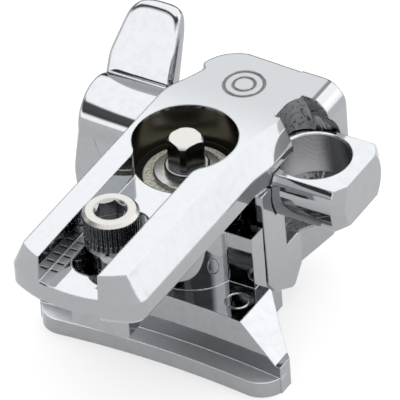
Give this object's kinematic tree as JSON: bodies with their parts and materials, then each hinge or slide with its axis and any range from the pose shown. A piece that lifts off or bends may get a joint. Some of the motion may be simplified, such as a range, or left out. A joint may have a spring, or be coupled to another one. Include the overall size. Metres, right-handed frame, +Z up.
{
  "type": "drum rim clamp with rod holder",
  "caption": "Die-cast clamp that grips a drum rim between a bolted lower jaw and a sliding hook, with an eye bolt and wing nut for a vertical rod.",
  "frame": {"origin": "clamp bolt's axis at the underside of the lower jaw", "axes": "+Z up along the clamp bolt, -Y towards the nose of the arm, +X towards the rod eye"},
  "size_m": [0.0556, 0.0688, 0.0475],
  "materials": {
    "casting_chrome": "polished",
    "lower_chrome": "polished",
    "wing_chrome": "polished",
    "eye_chrome": "polished",
    "bolt_steel": "polished",
    "screw_steel": "satin",
    "washer_steel": "satin",
    "zinc_steel": "satin",
    "spring_steel": "satin",
    "pad_rubber": "matte"
  },
  "bodies": {
    "upper_body": {"upper_jaw": "casting_chrome", "clamp_bolt_washer": "washer_steel", "wing_washer": "washer_steel", "jaw_spring": "spring_steel"},
    "bolt_body": {"clamp_bolt": "bolt_steel"},
    "lower_body": {"lower_jaw": "lower_chrome", "clamp_nut": "zinc_steel"},
    "hook_body": {"rim_hook": "casting_chrome", "hook_nut": "zinc_steel", "hook_pad": "pad_rubber"},
    "screw_body": {"hook_screw": "screw_steel", "hook_lock_washer": "washer_steel"},
    "eye_body": {"eye_bolt": "eye_chrome"},
    "wing_body": {"wing_nut": "wing_chrome"}
  },
  "joints": [
    {"name": "bolt_turn", "type": "hinge", "parent": "upper_body", "child": "bolt_body", "pos_m": [0, 0, 0.033], "axis": [0, 0, 1], "range_deg": [-1080, 1800]},
    {"name": "jaw_slide", "type": "slide", "parent": "upper_body", "child": "lower_body", "axis": [0, 0, 1], "range_m": [-0.005, 0.003], "deforming": ["jaw_spring"]},
    {"name": "hook_slide", "type": "slide", "parent": "upper_body", "child": "hook_body", "axis": [0, 1, 0], "range_m": [-0.006, 0.005]},
    {"name": "screw_turn", "type": "hinge", "parent": "hook_body", "child": "screw_body", "pos_m": [0, -0.02578, 0.036], "axis": [0, 0, 1], "continuous": true},
    {"name": "wing_turn", "type": "hinge", "parent": "upper_body", "child": "wing_body", "pos_m": [-0.0135, 0.0134, 0.02825], "axis": [1, 0, 0], "range_deg": [-1440, 288]},
    {"name": "eye_slide", "type": "slide", "parent": "upper_body", "child": "eye_body", "axis": [1, 0, 0], "range_m": [-0.001, 0.005]}
  ],
  "couplings": [
    {"joint": "bolt_turn", "follows": "jaw_slide", "rad_per_m": -6283.2},
    {"joint": "wing_turn", "follows": "eye_slide", "rad_per_m": -5026.5}
  ]
}
